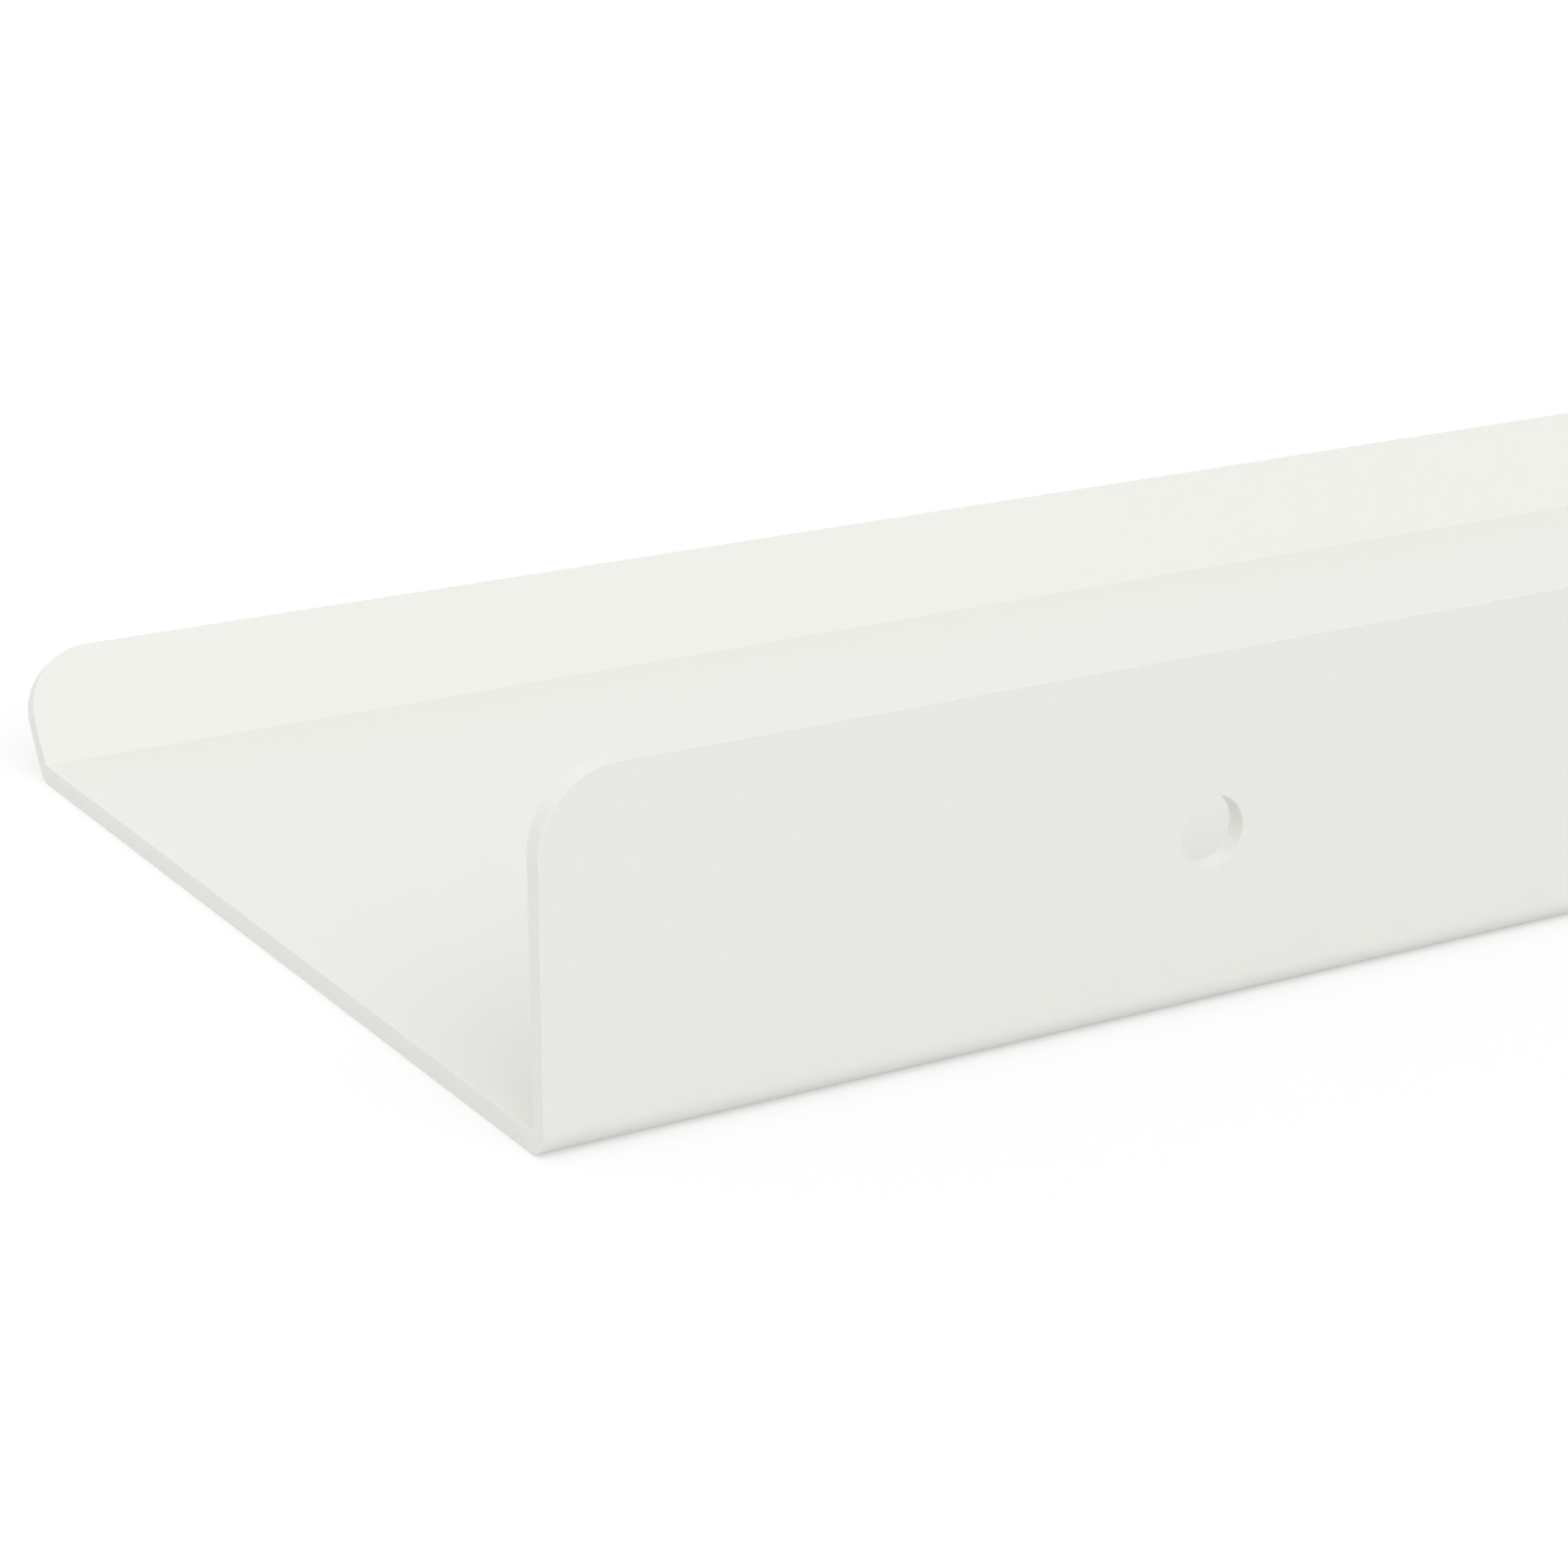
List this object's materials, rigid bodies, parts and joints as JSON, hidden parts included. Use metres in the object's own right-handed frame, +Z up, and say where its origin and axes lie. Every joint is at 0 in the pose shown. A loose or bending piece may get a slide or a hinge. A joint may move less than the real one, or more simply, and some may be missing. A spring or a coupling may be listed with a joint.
{
  "type": "floating wall shelf",
  "caption": "Shallow floating wall shelf folded from one coated steel sheet, with an upright wall flange with screw holes, a leaning front lip and loose wall screws and plugs.",
  "frame": {"origin": "half-way between the two wall holes, on the face that lies on the wall", "axes": "+X along the shelf, +Y into the wall, +Z up; the front lip is on the -Y side"},
  "size_m": [0.6, 0.09, 0.025],
  "materials": {
    "powder_coat": "warm off-white powder coat, matt, with a very fine orange peel",
    "zinc_steel": "bright zinc plating over steel",
    "grey_nylon": "moulded nylon, matt"
  },
  "bodies": {
    "shelf": {"shelf_body": "powder_coat"},
    "screw_1": {"wall_screw_1": "zinc_steel"},
    "screw_2": {"wall_screw_2": "zinc_steel"},
    "plug_1": {"wall_plug_1": "grey_nylon"},
    "plug_2": {"wall_plug_2": "grey_nylon"}
  },
  "joints": [
    {"name": "screw_1_lift", "type": "slide", "parent": "shelf", "child": "screw_1", "axis": [0, 0, 1], "range_m": [0, 0.06]},
    {"name": "screw_2_lift", "type": "slide", "parent": "shelf", "child": "screw_2", "axis": [0, 0, 1], "range_m": [0, 0.06]},
    {"name": "plug_1_lift", "type": "slide", "parent": "shelf", "child": "plug_1", "axis": [0, 0, 1], "range_m": [0, 0.06]},
    {"name": "plug_2_lift", "type": "slide", "parent": "shelf", "child": "plug_2", "axis": [0, 0, 1], "range_m": [0, 0.06]}
  ]
}
